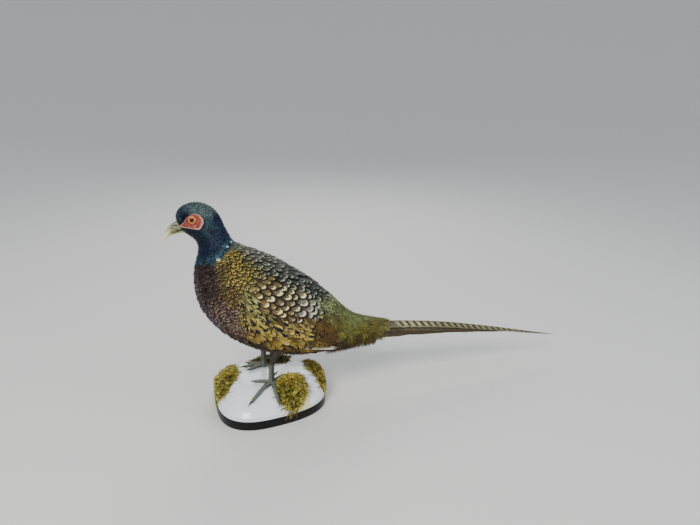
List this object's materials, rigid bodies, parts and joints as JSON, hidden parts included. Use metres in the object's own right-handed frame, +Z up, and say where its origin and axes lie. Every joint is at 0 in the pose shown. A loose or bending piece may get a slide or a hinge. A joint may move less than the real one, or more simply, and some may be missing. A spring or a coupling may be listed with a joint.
{
  "type": "taxidermy pheasant",
  "caption": "Mounted cock pheasant standing on a white plaster mound with a black rim and moss, head level, long barred tail held out behind.",
  "frame": {"origin": "on the flat underside of the base, below the bird's mid-plane and near the middle of the base", "axes": "+X from the bird towards its tail tip, so it looks along -X; +Y towards the bird's right side; +Z up"},
  "size_m": [0.739, 0.1608, 0.3499],
  "materials": {
    "black_board": "black painted wood, worn satin",
    "white_plaster": "white gloss-painted plaster with yellow glue stains",
    "moss": "dried golden-olive moss, tufty and matt",
    "head_feathers": "bronze-green crown and blue-black face feathers with a metallic gloss",
    "neck_feathers": "glossy dark blue to teal feathers",
    "body_feathers": "maroon breast, scalloped golden shoulders, spotted golden flank, grey-green back",
    "wing_feathers": "brown coverts with cream loops and rufous edges",
    "rump_feathers": "loose grey-green to olive-yellow feathers with a rusty fringe",
    "tail_feathers": "buff-brown vanes with narrow black bars",
    "quill": "pale edge of the long flight feathers",
    "wattle": "red warty bare skin with a pinkish rim",
    "eye": "polished glass, amber iris and black pupil",
    "bill": "pale greenish horn, smooth",
    "leg_scales": "dry grey-olive scales",
    "claw": "dark horn, satin"
  },
  "bodies": {
    "root": {"base_board": "black_board", "base_mound": "white_plaster", "head": "head_feathers", "bill_upper": "bill", "bill_lower": "bill", "neck": "neck_feathers", "trunk": "body_feathers", "rump": "rump_feathers", "moss_left": "moss", "moss_front": "moss", "moss_right": "moss", "moss_back": "moss", "wattle_left": "wattle", "eye_left": "eye", "wing_left": "wing_feathers", "primaries_left": "quill", "thigh_left": "body_feathers", "shank_left": "leg_scales", "foot_left": "leg_scales", "spur_left": "claw", "claw_left_inner": "claw", "claw_left_middle": "claw", "claw_left_outer": "claw", "claw_left_hind": "claw", "tail_central_left": "tail_feathers", "tail_second_left": "tail_feathers", "tail_third_left": "tail_feathers", "tail_fourth_left": "tail_feathers", "tail_outer_left": "tail_feathers", "wattle_right": "wattle", "eye_right": "eye", "wing_right": "wing_feathers", "primaries_right": "quill", "thigh_right": "body_feathers", "shank_right": "leg_scales", "foot_right": "leg_scales", "spur_right": "claw", "claw_right_inner": "claw", "claw_right_middle": "claw", "claw_right_outer": "claw", "claw_right_hind": "claw", "tail_central_right": "tail_feathers", "tail_second_right": "tail_feathers", "tail_third_right": "tail_feathers", "tail_fourth_right": "tail_feathers", "tail_outer_right": "tail_feathers"}
  },
  "joints": []
}
